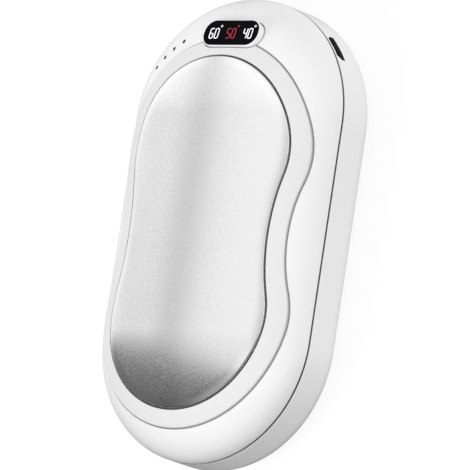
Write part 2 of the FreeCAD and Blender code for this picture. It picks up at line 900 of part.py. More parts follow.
def display_light_box():
    """White box that keeps the light of each figure to its own window."""
    top = key_flange_under - key_travel - light_box_room
    shape = box(light_box_length, light_box_width, display_board_top, top)
    for x in digit_places():
        shape = shape.cut(box(digit_chamber_length, digit_chamber_width, display_board_top, top, x))
    return at_key(shape)


def digit_lights():
    """One light for each figure of the display."""
    top = display_board_top + digit_light_height
    group = []
    for x in digit_places():
        group.append(at_key(box(digit_light_length, digit_light_width, display_board_top, top, x)))
    return Part.Compound(group)


def display_ribbon():
    """Flat lead between the two boards."""
    strip = box(ribbon_width, ribbon_thickness, board_top_z, crest_z, 0, key_y - ribbon_below_key)
    below = display_board_under - body_length
    room = at_key(box(body_length, body_length, below, display_board_under))
    return strip.common(room)


def charge_lights():
    """Four lights on the main board that show the charge."""
    top = board_top_z + light_height
    return Part.Compound([box(light_length, light_width, board_top_z, top, x, y) for x, y in light_places()])


def charge_light_pipe():
    """Clear moulding that leads the charge lights to their holes in the front shell."""
    low = board_top_z + light_height + light_air_gap
    bar_low = board_top_z + light_bar_rise
    bar_high = bar_low + light_bar_height
    centre = Vector(0, plate_top_y, bar_low)
    sweep = light_step_angle * (light_count - 1)
    outer = Part.makeCylinder(light_arc_radius + light_bar_width / 2, light_bar_height, centre, up, sweep)
    inner = Part.makeCylinder(light_arc_radius - light_bar_width / 2, light_bar_height, centre, up, sweep)
    bar = outer.cut(inner)
    bar.rotate(Vector(0, plate_top_y, 0), up, light_first_angle)
    pins = []
    for x, y in light_places():
        pins.append(rod(light_stem_diameter, low, bar_high, x, y))
        tip = light_hole_diameter - 2 * light_hole_clearance
        pins.append(rod(tip, low, crest_z, x, y))
    return bar.fuse(pins).common(inside_body(-light_sink)).removeSplitter()


NODES = {
    "front_shell": front_shell,
    "rear_shell": rear_shell,
    "front_heat_plate": front_heat_plate,
    "rear_heat_plate": rear_heat_plate,
    "front_plate_gasket": front_plate_gasket,
    "rear_plate_gasket": rear_plate_gasket,
    "front_heater_film": front_heater_film,
    "rear_heater_film": rear_heater_film,
    "front_thermistor": front_thermistor,
    "rear_thermistor": rear_thermistor,
    "right_battery_cell": lambda: battery_cell(1),
    "left_battery_cell": lambda: battery_cell(-1),
    "inner_frame": inner_frame,
    "battery_tabs": battery_tabs,
    "battery_pads": battery_pads,
    "battery_lead_black": battery_lead_black,
    "battery_lead_red": battery_lead_red,
    "front_heater_lead": front_heater_lead,
    "rear_heater_lead": rear_heater_lead,
    "main_board": main_board,
    "charge_chip": charge_chip,
    "boost_inductor": boost_inductor,
    "heater_transistors": heater_transistors,
    "port_shell": port_shell,
    "port_tongue": port_tongue,
    "port_contacts": port_contacts,
    "display_key_cap": key_cap,
    "display_lens": display_lens,
    "key_plungers": key_plungers,
    "key_switches": key_switches,
    "display_board": display_board,
    "display_light_box": display_light_box,
    "digit_lights": digit_lights,
    "display_ribbon": display_ribbon,
    "charge_lights": charge_lights,
    "charge_light_pipe": charge_light_pipe,
    "shell_screws": shell_screws,
    "board_screws": board_screws,
    "display_screws": display_screws,
}

os.makedirs("parts", exist_ok=True)
for name, make in NODES.items():
    shape = make()
    shape.exportStep("parts/" + name + ".step")
    print(name, len(shape.Solids), shape.isValid(), round(shape.Volume, 2))
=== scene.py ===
import json
import math

import bmesh
import bpy
import numpy as np
from bpy.props import FloatProperty, FloatVectorProperty, IntProperty, PointerProperty
from mathutils import Euler, Matrix, Vector

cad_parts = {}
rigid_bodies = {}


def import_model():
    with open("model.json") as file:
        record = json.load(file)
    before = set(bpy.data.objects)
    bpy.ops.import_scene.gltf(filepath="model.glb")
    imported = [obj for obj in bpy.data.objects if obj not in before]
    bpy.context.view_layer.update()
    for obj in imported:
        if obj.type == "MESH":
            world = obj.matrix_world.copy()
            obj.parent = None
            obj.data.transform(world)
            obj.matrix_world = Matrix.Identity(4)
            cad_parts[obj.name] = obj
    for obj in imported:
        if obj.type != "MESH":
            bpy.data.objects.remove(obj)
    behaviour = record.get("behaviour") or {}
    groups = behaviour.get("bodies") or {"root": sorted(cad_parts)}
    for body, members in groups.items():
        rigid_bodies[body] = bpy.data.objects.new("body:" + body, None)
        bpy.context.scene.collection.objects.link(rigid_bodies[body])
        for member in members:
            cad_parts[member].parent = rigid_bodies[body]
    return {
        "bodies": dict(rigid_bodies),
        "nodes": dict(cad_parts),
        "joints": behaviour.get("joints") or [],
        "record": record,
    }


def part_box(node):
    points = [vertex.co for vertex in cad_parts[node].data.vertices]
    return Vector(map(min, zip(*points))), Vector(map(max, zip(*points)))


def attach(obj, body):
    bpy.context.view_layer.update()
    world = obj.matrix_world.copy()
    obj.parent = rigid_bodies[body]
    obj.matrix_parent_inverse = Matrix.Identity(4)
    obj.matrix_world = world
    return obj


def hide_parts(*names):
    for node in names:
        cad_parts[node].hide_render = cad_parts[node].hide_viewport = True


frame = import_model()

bl_info = {
    "name": "Rechargeable hand warmer",
    "version": (1, 0, 0),
    "blender": (4, 5, 0),
    "location": "View3D > Sidebar > Hand warmer",
    "description": "Dresses the frame of a palm-size rechargeable hand warmer",
    "category": "Add Mesh",
}

# Places read from the frame, in metres
SHELL_LOW, SHELL_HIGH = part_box("front_shell")
PLATE_LOW, PLATE_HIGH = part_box("front_heat_plate")
BACK_LOW, BACK_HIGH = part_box("rear_heat_plate")
REAR_LOW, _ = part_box("rear_shell")
LENS_LOW, LENS_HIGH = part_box("display_lens")
SCREW_LOW, SCREW_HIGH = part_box("shell_screws")
KEY_AXIS = -Vector(frame["joints"][0]["axis"]).normalized()
PORT = next(mount for mount in frame["record"]["mounts"] if mount["name"] == "charging_port")
NODE_SLOTS = {part["node"]: part["material_slot"] for part in frame["record"]["subparts"]}


def snapped(place):
    """A place in the frame, to a hundredth of a millimetre."""
    return round(place, 5)


HALF_WIDTH = snapped(SHELL_HIGH.x)
HALF_LENGTH = snapped(SHELL_HIGH.y)
PARTING = snapped(SHELL_LOW.z)
END_CENTRE = HALF_LENGTH - HALF_WIDTH
PLATE_END = snapped(PLATE_HIGH.x)
PLATE_TOP = snapped(PLATE_HIGH.z)
PLATE_MIDDLE = snapped((PLATE_HIGH.y + PLATE_LOW.y) / 2)
PLATE_SPREAD = snapped((PLATE_HIGH.y - PLATE_LOW.y) / 2) - PLATE_END
REAR_BASE = snapped(REAR_LOW.z)
BACK_BASE = snapped(BACK_LOW.z)
BACK_TOP = snapped(BACK_HIGH.z)

# Numbers of the shells' finishes: the front's, then the rear's; all but the plain and border ones
# are painted shade
PLAIN, BORDER, SIDE, GROOVE, HOLE = range(5)
LIP, GAP = 1, 2

# How finely the meshes are cut: steps along a line, then rows of points over a surface
END_STEPS = 220
SIDE_STEPS = 110
SEARCH_STEPS = 44
DOME_ROWS = 41
INSIDE_ROWS = 17
BORDER_ROWS = 7
WALL_ROWS = 8
EDGE_ROWS = 17
INNER_EDGE_ROWS = 9
FACE_ROWS = 40
ROLL_ROWS = 14
BACK_ROWS = 6
SMOOTH_ANGLE = math.radians(34)
MERGE_DISTANCE = 1e-7

# The corners of a square about its middle
CORNERS = ((1, 1), (-1, 1), (-1, -1), (1, -1))


def length(name, description, default):
    """A length that the sidebar can change."""
    return FloatProperty(name=name, description=description, default=default, min=0, precision=5,
                         subtype="DISTANCE", unit="LENGTH")


def colour(name, description, default):
    """A colour that the sidebar can change."""
    return FloatVectorProperty(name=name, description=description, default=default, size=3,
                               min=0, max=1, subtype="COLOR")


def turn(name, description, degrees):
    """An angle that the sidebar can change."""
    return FloatProperty(name=name, description=description, default=math.radians(degrees),
                         subtype="ANGLE", unit="ROTATION")


class WarmerSizes(bpy.types.PropertyGroup):
    """Sizes of the outer pieces that the frame's boxes don't give."""

    fullness: FloatProperty(name="Dome fullness", description="How square the dome's shoulder is",
                            default=0.615, min=0, max=1)
    shell_wall: length("Shell wall", "Thickness of both shells", 0.002)
    rear_edge: length("Rear edge", "Radius round the back", 0.0055)
    gap_height: length("Shadow gap height", "Height of the line between the shells", 0.0005)
    gap_depth: length("Shadow gap depth", "Depth of the line between the shells", 0.0009)
    plate_proud: length("Plate proud", "How far the front plate stands above the dome", 0.00095)
    plate_thickness: length("Plate thickness", "Thickness of both plates", 0.0012)
    plate_chamfer: length("Plate chamfer", "Bright edge round the plates", 0.00035)
    plate_gap: length("Plate gap", "Gap between a plate and its shell", 0.0005)
    plate_waist: length("Plate waist", "Radius of the plates' drawn-in sides", 0.069)
    plate_roll: length("Plate roll", "Width of the front plate's rolled rim", 0.0024)
    plate_roll_drop: length("Plate roll drop", "How far the front plate's rim rolls down", 0.00025)
    ledge: length("Ledge", "Width of the seat under the plates", 0.003)
    gasket: length("Gasket", "Thickness of the gaskets under the plates", 0.0003)
    border_width: length("Border width", "Width of the raised border at its ends", 0.00475)
    border_waist: length("Border waist", "Radius of the border's drawn-in sides", 0.056)
    border_rise: length("Border rise", "How far the border stands above the dome", 0.00035)
    groove_width: length("Groove width", "Width of the groove along the border's foot", 0.0003)
    groove_depth: length("Groove depth", "Depth of the groove along the border's foot", 0.0002)
    edge_round: length("Edge rounding", "Small rounding of moulded edges", 0.0002)
    lip_round: length("Lip rounding", "Rounding of the rear shell's lip", 0.00018)
    key_length: length("Key length", "Length of the display key", 0.0179)
    key_width: length("Key width", "Width of the display key", 0.0075)
    key_corner: length("Key corner", "Rounding of the display key's corners", 0.00345)
    key_clearance: length("Key clearance", "Gap round the display key", 0.00025)
    key_proud: length("Key proud", "How far the display stands above the dome", 0.0009)
    light_radius: length("Light radius", "Arc on which the charge lights stand", 0.03245)
    light_first: length("First light", "First light's distance from the middle line", 0.01474)
    light_step: turn("Light step", "Angle between charge lights", 6.4)
    light_count: IntProperty(name="Lights", description="Number of charge lights", default=4, min=1)
    light_hole: length("Light hole", "Width of a charge light's hole", 0.0011)
    port_width: length("Port width", "Wide side of the charging port", 0.0075)
    port_narrow: length("Port narrow side", "Narrow side of the charging port", 0.0053)
    port_height: length("Port height", "Height of the charging port", 0.0026)
    port_clearance: length("Port clearance", "Gap round the charging port", 0.00015)
    screw_recess: length("Screw recess", "Width of the closing screws' recesses", 0.0039)
    recess_depth: length("Recess depth", "Depth of the closing screws' recesses", 0.0035)
    screw_post: length("Screw post", "Width of the posts that the closing screws go through", 0.006)
    screw_bore: length("Screw bore", "Width of the closing screws' holes", 0.0023)
    screw_head: length("Screw head", "Width of a closing screw's head", 0.0036)
    screw_head_height: length("Head height", "Height of a closing screw's head", 0.0014)
    screw_shank: length("Screw shank", "Width of a closing screw's shank", 0.002)
    screw_slot: length("Screw slot", "Width of a closing screw's cross slots", 0.0006)
    screw_slot_depth: length("Slot depth", "Depth of a closing screw's cross slots", 0.0005)
    digit_height: length("Digit height", "Height of a figure along its strokes' middles", 0.00275)
    digit_width: length("Digit width", "Width of a figure along its strokes' middles", 0.00105)
    digit_step: length("Digit step", "Distance between the two figures of a pair", 0.00162)
    digit_pitch: length("Digit pitch", "Distance between the three temperatures", 0.0054)
    digit_stroke: length("Digit stroke", "Width of the figures' strokes", 0.00026)
    digit_corner: length("Digit corner", "Rounding of the figures' corners", 0.0004)
    digit_relief: length("Digit relief", "Thickness of the figures on the lens", 0.00004)
    digit_drop: length("Digit drop", "How far the figures stand below the lens's middle", 0.0002)
    degree_size: length("Degree size", "Width of a degree ring along its stroke's middle", 0.0005)
    degree_across: length("Degree across", "Degree ring's distance from its pair's middle", 0.0018)
    degree_rise: length("Degree rise", "Height of a degree ring above its pair's middle", 0.00205)


class WarmerColours(bpy.types.PropertyGroup):
    """Colours of the outer pieces."""

    shell: colour("Shell", "White of the shells", (0.82, 0.82, 0.823))
    border: colour("Border", "White of the raised border", (0.72, 0.72, 0.723))
    plate: colour("Plate", "Aluminium of the plates", (0.905, 0.905, 0.907))
    # Painted shade: a dark grey laid where shade falls in the gaps, the groove, the lip and the
    # openings
    seam: colour("Seams", "Grey of the lines between the pieces", (0.12, 0.12, 0.12))
    lens: colour("Lens", "Black of the display", (0.004, 0.004, 0.005))
    figure: colour("Figures", "Light of the figures", (0.95, 0.95, 0.95))
    figure_on: colour("Chosen figure", "Light of the chosen temperature", (0.32, 0.008, 0.026))


class WarmerStage(bpy.types.PropertyGroup):
    """Where the camera stands."""

    turn: turn("Turn", "Turn of the camera about the object's length", 39.25)
    tip: turn("Tip", "Tip of the camera towards the lower end", 9.45)
    roll: turn("Roll", "Roll of the camera", 8.53)
    distance: length("Distance", "Distance of the camera", 3.0)
    view_width: length("View width", "Width of what the camera sees at the object", 0.11878)
    aim_right: length("Aim right", "How far right of the body's middle the camera aims", 0.002368)
    aim_down: length("Aim down", "How far below the body's middle the camera aims", 0.000885)



# Outlines and the dome

def sizes():
    """The sizes set in the sidebar."""
    return bpy.context.scene.warmer_sizes


def arc(centre, radius, first, last, count, outward=1):
    """Points on an arc, without its last, and the normals that point out of the outline there."""
    angles = np.linspace(first, last, count, endpoint=False)
    radial = np.stack([np.cos(angles), np.sin(angles)], 1)
    return np.array(centre) + radius * radial, outward * radial


def waisted(end_radius, side_radius):
    """Points and outward normals round two round ends joined by drawn-in sides."""
    reach = end_radius + side_radius
    lean = math.asin(PLATE_SPREAD / reach)
    side_x = math.sqrt(reach ** 2 - PLATE_SPREAD ** 2)
    top = (0, PLATE_MIDDLE + PLATE_SPREAD)
    bottom = (0, PLATE_MIDDLE - PLATE_SPREAD)
    pieces = [
        arc(top, end_radius, -lean, math.pi + lean, END_STEPS),
        arc((-side_x, PLATE_MIDDLE), side_radius, lean, -lean, SIDE_STEPS, -1),
        arc(bottom, end_radius, math.pi - lean, 2 * math.pi + lean, END_STEPS),
        arc((side_x, PLATE_MIDDLE), side_radius, math.pi + lean, math.pi - lean, SIDE_STEPS, -1),
    ]
    return np.concatenate([p for p, _ in pieces]), np.concatenate([n for _, n in pieces])


def plate_outline(margin):
    """The plates' outline with a margin all round."""
    return waisted(PLATE_END + margin, sizes().plate_waist - margin)


def border_outline(margin):
    """The outer edge of the raised border with a margin all round."""
    return waisted(PLATE_END + sizes().border_width + margin, sizes().border_waist - margin)


def plate_spine():
    """The point of the plates' middle line that belongs to each point of their outline."""
    side = np.linspace(1, -1, SIDE_STEPS, endpoint=False)
    along = np.concatenate([np.ones(END_STEPS), side, -np.ones(END_STEPS), -side])
    return np.stack([np.zeros_like(along), PLATE_MIDDLE + PLATE_SPREAD * along], 1)


def spine_distance(points):
    """Distance from the body's own middle line, in plan."""
    return np.hypot(points[:, 0], np.maximum(np.abs(points[:, 1]) - END_CENTRE, 0))


def body_normal(points):
    """Outward normals of the body's round-ended plan."""
    ends = np.sign(points[:, 1]) * np.maximum(np.abs(points[:, 1]) - END_CENTRE, 0)
    away = np.stack([points[:, 0], ends], 1)
    return away / np.linalg.norm(away, axis=1, keepdims=True)


def search(high, short):
    """How far each value goes, from zero towards a far end, before it stops being short."""
    low = np.zeros_like(high)
    for _ in range(SEARCH_STEPS):
        middle = (low + high) / 2
        still = short(middle)
        low = np.where(still, middle, low)
        high = np.where(still, high, middle)
    return low


def out_to(points, normals, distance):
    """Where rays that leave an outline reach a distance from the body's middle line."""
    way = search(np.full(len(points), HALF_LENGTH),
                 lambda run: spine_distance(points + normals * run[:, None]) < distance)
    return points + normals * way[:, None]


def dome_reach(share):
    """How far out the dome's section is, at a share of the way up its curve."""
    rest = 1 - share
    return rest ** 3 + 3 * rest ** 2 * share + 3 * rest * share ** 2 * sizes().fullness


def dome_rise(share):
    """How high the dome's section is, at a share of the way up its curve."""
    rest = 1 - share
    return 3 * rest ** 2 * share * sizes().fullness + 3 * rest * share ** 2 + share ** 3


def dome_share(reach):
    """The share of the way up the dome's curve at which it is that far out."""
    return search(np.ones_like(reach), lambda share: dome_reach(share) > reach)


def dome_height():
    """Height of the dome above the parting plane."""
    return PLATE_TOP - sizes().plate_proud - PARTING


def on_dome(points, offset=0.0):
    """Points in plan, set on the dome or on an offset of it."""
    reach = np.minimum(spine_distance(points) / (HALF_WIDTH + offset), 1)
    height = PARTING + (dome_height() + offset) * dome_rise(dome_share(reach))
    return np.column_stack([points, height])


def at_height(points, height):
    """Points in plan, set at one height."""
    return np.column_stack([points, np.full(len(points), height)])


# Meshes

def piece_from(name, mesh, *materials):
    """A piece of the object from a mesh in place."""
    mesh.name = name
    for material in materials:
        mesh.materials.append(material)
    piece = bpy.data.objects.new(name, mesh)
    bpy.context.scene.collection.objects.link(piece)
    return piece


def strip_mesh(rows, closed, paint=None):
    """Faces between loops of points, with the number of a finish for each strip."""
    count = len(rows[0])
    column = np.arange(count)
    following = (column + 1) % count
    faces = []
    for number in range(len(rows) if closed else len(rows) - 1):
        here = number * count
        there = (number + 1) % len(rows) * count
        faces.append(np.stack([here + column, here + following,
                               there + following, there + column], 1))
    mesh = bpy.data.meshes.new("strips")
    mesh.from_pydata(np.concatenate(rows), [], np.concatenate(faces))
    if paint is not None:
        mesh.polygons.foreach_set("material_index", np.repeat(paint, count).astype(np.int32))
    work = bmesh.new()
    work.from_mesh(mesh)
    bmesh.ops.remove_doubles(work, verts=work.verts, dist=MERGE_DISTANCE)
    bmesh.ops.recalc_face_normals(work, faces=work.faces)
    work.to_mesh(mesh)
    work.free()
    smooth(mesh)
    return mesh


def smooth(mesh):
    """Shades a mesh smooth up to a set angle."""
    mesh.shade_smooth()
    mesh.set_sharp_from_angle(angle=SMOOTH_ANGLE)


def finished(piece):
    """Turns a piece with modifiers into a plain mesh."""
    graph = bpy.context.evaluated_depsgraph_get()
    mesh = bpy.data.meshes.new_from_object(piece.evaluated_get(graph), depsgraph=graph)
    piece.modifiers.clear()
    piece.data = mesh


def cut(piece, cutters, finish, operation="DIFFERENCE"):
    """Cuts a piece, or joins the cutters to it, and gives the new walls one of its finishes."""
    for cutter in cutters:
        for material in piece.data.materials:
            cutter.materials.append(material)
        numbers = np.full(len(cutter.polygons), finish, np.int32)
        cutter.polygons.foreach_set("material_index", numbers)
        tool = bpy.data.objects.new("cutter", cutter)
        bpy.context.scene.collection.objects.link(tool)
        modifier = piece.modifiers.new("cut", "BOOLEAN")
        modifier.operation = operation
        modifier.solver = "EXACT"
        modifier.object = tool
        finished(piece)
        bpy.data.objects.remove(tool)
    piece.data.set_sharp_from_angle(angle=SMOOTH_ANGLE)


def prism(outline, places, low, high):
    """An outline made solid between two heights, once in each of some frames."""
    work = bmesh.new()
    for place in places:
        lower = [work.verts.new(place @ Vector((x, y, low))) for x, y in outline]
        upper = [work.verts.new(place @ Vector((x, y, high))) for x, y in outline]
        work.faces.new(reversed(lower))
        work.faces.new(upper)
        for wall in zip(lower, lower[1:] + lower[:1], upper[1:] + upper[:1], upper):
            work.faces.new(wall)
    bmesh.ops.recalc_face_normals(work, faces=work.faces)
    mesh = bpy.data.meshes.new("prism")
    work.to_mesh(mesh)
    work.free()
    mesh.shade_smooth()
    return mesh


def pill(long, wide, corner, steps=14):
    """The outline of a rounded oblong."""
    points = []
    for number, (x, y) in enumerate(CORNERS):
        for step in range(steps + 1):
            angle = math.pi / 2 * (number + step / steps)
            points.append((x * (long / 2 - corner) + corner * math.cos(angle),
                           y * (wide / 2 - corner) + corner * math.sin(angle)))
    return points


def circle(width, steps=28):
    """The outline of a circle."""
    angles = [2 * math.pi * step / steps for step in range(steps)]
    return [(width / 2 * math.cos(angle), width / 2 * math.sin(angle)) for angle in angles]


def placed(origin, *axes):
    """A frame at a point, from its three axes."""
    return Matrix.Translation(origin) @ Matrix(axes).transposed().to_4x4()


def key_place():
    """The display key's own frame, with its zero on top of the lens."""
    heights = [KEY_AXIS.dot(vertex.co) for vertex in frame["nodes"]["display_lens"].data.vertices]
    top = (LENS_LOW + LENS_HIGH) / 2 + KEY_AXIS * ((max(heights) - min(heights)) / 2)
    across = Vector((1, 0, 0))
    return placed(top, across, KEY_AXIS.cross(across), KEY_AXIS)


def port_place():
    """The charging port's own frame, looking out of the shell along its Z."""
    outward = Vector(PORT["axis"])
    upward = Vector((0, 0, 1))
    return placed(Vector(PORT["pos_m"]), upward.cross(outward), upward, outward)


def light_places():
    """Where the charge lights stand in plan, on an arc outside the border."""
    size = sizes()
    first = math.acos(-size.light_first / size.light_radius)
    centre = PLATE_MIDDLE + PLATE_SPREAD
    angles = [first + number * size.light_step for number in range(size.light_count)]
    return [(size.light_radius * math.cos(angle), centre + size.light_radius * math.sin(angle))
            for angle in angles]


def screw_places():
    """Where the four closing screws stand in plan, from the middles of their solids."""
    points = np.array([vertex.co for vertex in frame["nodes"]["shell_screws"].data.vertices])
    places = []
    for side in (1, -1):
        for end in (1, -1):
            own = points[(points[:, 0] * side > 0) & (points[:, 1] * end > 0)]
            places.append(Vector((own.min(0) + own.max(0)) / 2))
    return places


# Nodes and finishes

class Value:
    """A node's socket that Python's operators can work with."""

    def __init__(self, tree, socket):
        self.tree = tree
        self.socket = socket

    def math(self, operation, first, second):
        """Adds a Math node."""
        return self.tree.node("ShaderNodeMath", {0: first, 1: second}, operation=operation)

    def __add__(self, other):
        return self.math("ADD", self, other)

    def __sub__(self, other):
        return self.math("SUBTRACT", self, other)

    def __rsub__(self, other):
        return self.math("SUBTRACT", other, self)

    def __mul__(self, other):
        return self.math("MULTIPLY", self, other)

    __radd__ = __add__
    __rmul__ = __mul__

    def swing(self, amount):
        """An amount about zero, from a value between 0 and 1."""
        return amount * (self - 0.5)

    def step(self, first, last, low=0.0, high=1.0):
        """A soft step from one level to another."""
        inputs = {"Value": self, "From Min": first, "From Max": last, "To Min": low, "To Max": high}
        return self.tree.node("ShaderNodeMapRange", inputs, interpolation_type="SMOOTHSTEP")


class Tree:
    """A tree of nodes."""

    def __init__(self, tree):
        self.tree = tree

    def node(self, kind, inputs=None, output=0, **settings):
        """Adds a node, with its settings and then its inputs, and returns one of its outputs."""
        node = self.tree.nodes.new(kind)
        for name, value in settings.items():
            setattr(node, name, value)
        for name, value in (inputs or {}).items():
            self.feed(node.inputs[name], value)
        return Value(self, node.outputs[output])

    def feed(self, socket, value):
        """Links a socket to a value or to each of a list, or sets it."""
        for one in value if isinstance(value, list) else [value]:
            if isinstance(one, Value):
                self.tree.links.new(one.socket, socket)
            else:
                socket.default_value = one


class Shading(Tree):
    """The nodes of a material or a world, with the shader that they feed."""

    def __init__(self, owner, shader):
        owner.use_nodes = True
        super().__init__(owner.node_tree)
        self.shader = owner.node_tree.nodes[shader]

    def set(self, **inputs):
        """Sets or links the shader's own sockets, with underscores for spaces."""
        for name, value in inputs.items():
            words = name.replace("_", " ").title().replace("Ior", "IOR")
            self.feed(self.shader.inputs[words], value)


class Finish(Shading):
    """A procedural material on Object coordinates."""

    def __init__(self, name, **constants):
        self.material = bpy.data.materials.new(name)
        super().__init__(self.material, "Principled BSDF")
        self.set(**constants)

    def coordinates(self, stretch=(1, 1, 1)):
        """Object coordinates, stretched along the axes."""
        source = self.node("ShaderNodeTexCoord", output="Object")
        return self.node("ShaderNodeMapping", {"Vector": source, "Scale": stretch})

    def noise(self, grain, detail=2.0, stretch=(1, 1, 1)):
        """Noise from 0 to 1 with a grain of that size in metres."""
        inputs = {"Vector": self.coordinates(stretch), "Scale": 1 / grain, "Detail": detail}
        return self.node("ShaderNodeTexNoise", inputs, "Fac")

    def mixed(self, factor, first, second):
        """One colour to another by a factor."""
        inputs = {0: factor, 6: (*first, 1), 7: (*second, 1)}
        return self.node("ShaderNodeMix", inputs, 2, data_type="RGBA")

    def mottle(self, factor, tint, dark, light):
        """Lets the colour vary between two shades of a tint."""
        self.set(base_color=self.mixed(factor, shade(tint, dark), shade(tint, light)))

    def bump(self, height, strength, depth):
        """Lets a height stand out of the surface."""
        inputs = {"Height": height, "Strength": strength, "Distance": depth}
        self.set(normal=self.node("ShaderNodeBump", inputs))


def shade(tint, share):
    """A colour made darker or lighter."""
    return tuple(min(part * share, 1) for part in tint)


def moulded(name, tint, roughness):
    """Moulded plastic with a fine texture and a little unevenness of its gloss."""
    finish = Finish(name, ior=1.46)
    broad = finish.noise(grain=0.02, detail=1.0)
    fine = finish.noise(grain=0.0004)
    finish.mottle(broad, tint, dark=0.985, light=1.01)
    finish.set(roughness=roughness + broad.swing(0.05) + fine.swing(0.04))
    finish.bump(fine, strength=0.25, depth=0.00001)
    return finish.material


def blasted(name, tint):
    """Bead-blasted aluminium with a fine sparkle."""
    finish = Finish(name, metallic=1.0)
    fine = finish.noise(grain=0.0004)
    broad = finish.noise(grain=0.012, detail=1.0)
    finish.mottle(fine, tint, dark=0.985, light=1.01)
    finish.set(roughness=0.28 + fine.swing(0.35) + broad.swing(0.04))
    finish.bump(fine, strength=0.12, depth=0.00003)
    return finish.material


def brushed(name, tint, roughness):
    """Drawn or plated sheet metal with fine lines."""
    finish = Finish(name, metallic=1.0)
    lines = finish.noise(grain=0.0006, stretch=(1, 12, 1))
    finish.mottle(lines, tint, dark=0.85, light=1.1)
    finish.set(roughness=roughness + lines.swing(0.12))
    finish.bump(lines, strength=0.2, depth=0.00001)
    return finish.material


def spongy(name, tint):
    """Closed-cell foam or soft insulation."""
    finish = Finish(name, ior=1.4)
    cells = finish.noise(grain=0.0005, detail=4.0)
    finish.mottle(cells, tint, dark=0.7, light=1.2)
    finish.set(roughness=0.75 + cells.swing(0.2))
    finish.bump(cells, strength=0.5, depth=0.0001)
    return finish.material


# A wave texture's scale for bands one metre wide
BAND_SCALE = 0.31416


def banded(name, tint, line, width):
    """A film or board with fine conductor lines."""
    finish = Finish(name, ior=1.5)
    inputs = {"Vector": finish.coordinates(), "Scale": BAND_SCALE / width, "Distortion": 0.0}
    bands = finish.node("ShaderNodeTexWave", inputs, "Fac",
                        wave_type="BANDS", bands_direction="Y", wave_profile="SIN")
    mask = bands.step(0.55, 0.7)
    finish.set(base_color=finish.mixed(mask, tint, line), roughness=0.45 - 0.12 * mask)
    finish.bump(mask, strength=0.3, depth=0.00002)
    return finish.material


def polished(name, tint, roughness, specular=0.15):
    """A polished dark lens."""
    finish = Finish(name, specular_ior_level=specular)
    smear = finish.noise(grain=0.004)
    finish.mottle(smear, tint, dark=0.8, light=1.2)
    finish.set(roughness=roughness + 0.04 * smear)
    return finish.material


def lit(name, tint):
    """A figure of the display, lit from behind."""
    finish = Finish(name, emission_strength=1.0, roughness=0.4)
    spread = finish.noise(grain=0.001, detail=1.0)
    finish.set(base_color=(*shade(tint, 0.4), 1),
               emission_color=finish.mixed(spread, shade(tint, 0.94), tint))
    return finish.material


def record_tint(slot):
    """The record's colour of a material slot."""
    materials = frame["record"]["materials"]
    return next(material for material in materials if material["slot"] == slot)["base_color"][:3]


# Finishes inside the housing and in the port: the kind, and what it is given after the tint
INNER_FINISHES = {
    "foam_dark": (spongy,),
    "film_amber": (banded, (0.45, 0.2, 0.06), 0.0012),
    "sensor_bead": (moulded, 0.3),
    "cell_sleeve": (moulded, 0.35),
    "frame_plastic": (moulded, 0.55),
    "tab_nickel": (brushed, 0.3),
    "lead_black": (spongy,),
    "lead_red": (spongy,),
    "lead_white": (spongy,),
    "board_green": (banded, (0.12, 0.36, 0.16), 0.0008),
    "chip_black": (moulded, 0.5),
    "ferrite_grey": (moulded, 0.6),
    "port_steel": (brushed, 0.5),
    "port_plastic": (moulded, 0.5),
    "contact_gold": (brushed, 0.25),
    "switch_plastic": (moulded, 0.5),
    "light_box_white": (moulded, 0.5),
    "light_chip": (moulded, 0.3),
    "pipe_smoke": (polished, 0.15),
}
# Painted shade: darker shades of the record's colours for the pieces that stand in deep shadow
INNER_SHADES = {"port_steel": 0.12, "pipe_smoke": 0.3}

# Painted shade: shades of the border's white for its side, and of the seams' grey for the groove
# and the openings
SIDE_SHADE = 0.66
GROOVE_SHADE = 2.2
OPENING_SHADE = 0.3

# How deep the openings are cut: the key's beside its height, the port's beside the shell's wall
KEY_CUT = 6
PORT_CUT = 3


# Pieces

class WARMER_OT_front_shell(bpy.types.Operator):
    """Builds the domed white front shell with its raised border and its openings"""

    bl_idname = "warmer.front_shell"
    bl_label = "Front shell"

    def execute(self, context):
        size = sizes()
        colours = context.scene.warmer_colours
        rows, paint = front_shell_rows(size)
        piece = piece_from(
            "front_shell_skin", strip_mesh(rows, True, paint),
            moulded("shell_white", colours.shell, roughness=0.32),
            moulded("border_white", colours.border, roughness=0.5),
            # Painted shade: the border's side wall is a darker copy of the border's white
            moulded("border_side", shade(colours.border, SIDE_SHADE), roughness=0.55),
            # Painted shade: the groove along the border's foot is grey
            moulded("groove_grey", shade(colours.seam, GROOVE_SHADE), roughness=0.6),
            # Painted shade: the walls of the key's opening and of the light holes are dark grey
            moulded("seam_grey", colours.seam, roughness=0.7))
        cut(piece, front_shell_cutters(size), HOLE)
        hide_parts("front_shell")
        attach(piece, "housing")
        return {"FINISHED"}


def rounded_edge(radius, steps=4):
    """Pairs of run and drop that carry a surface round an outer edge."""
    angles = [math.pi / 2 * step / steps for step in range(steps + 1)]
    return [(radius * (1 - math.sin(angle)), radius * (1 - math.cos(angle))) for angle in angles]


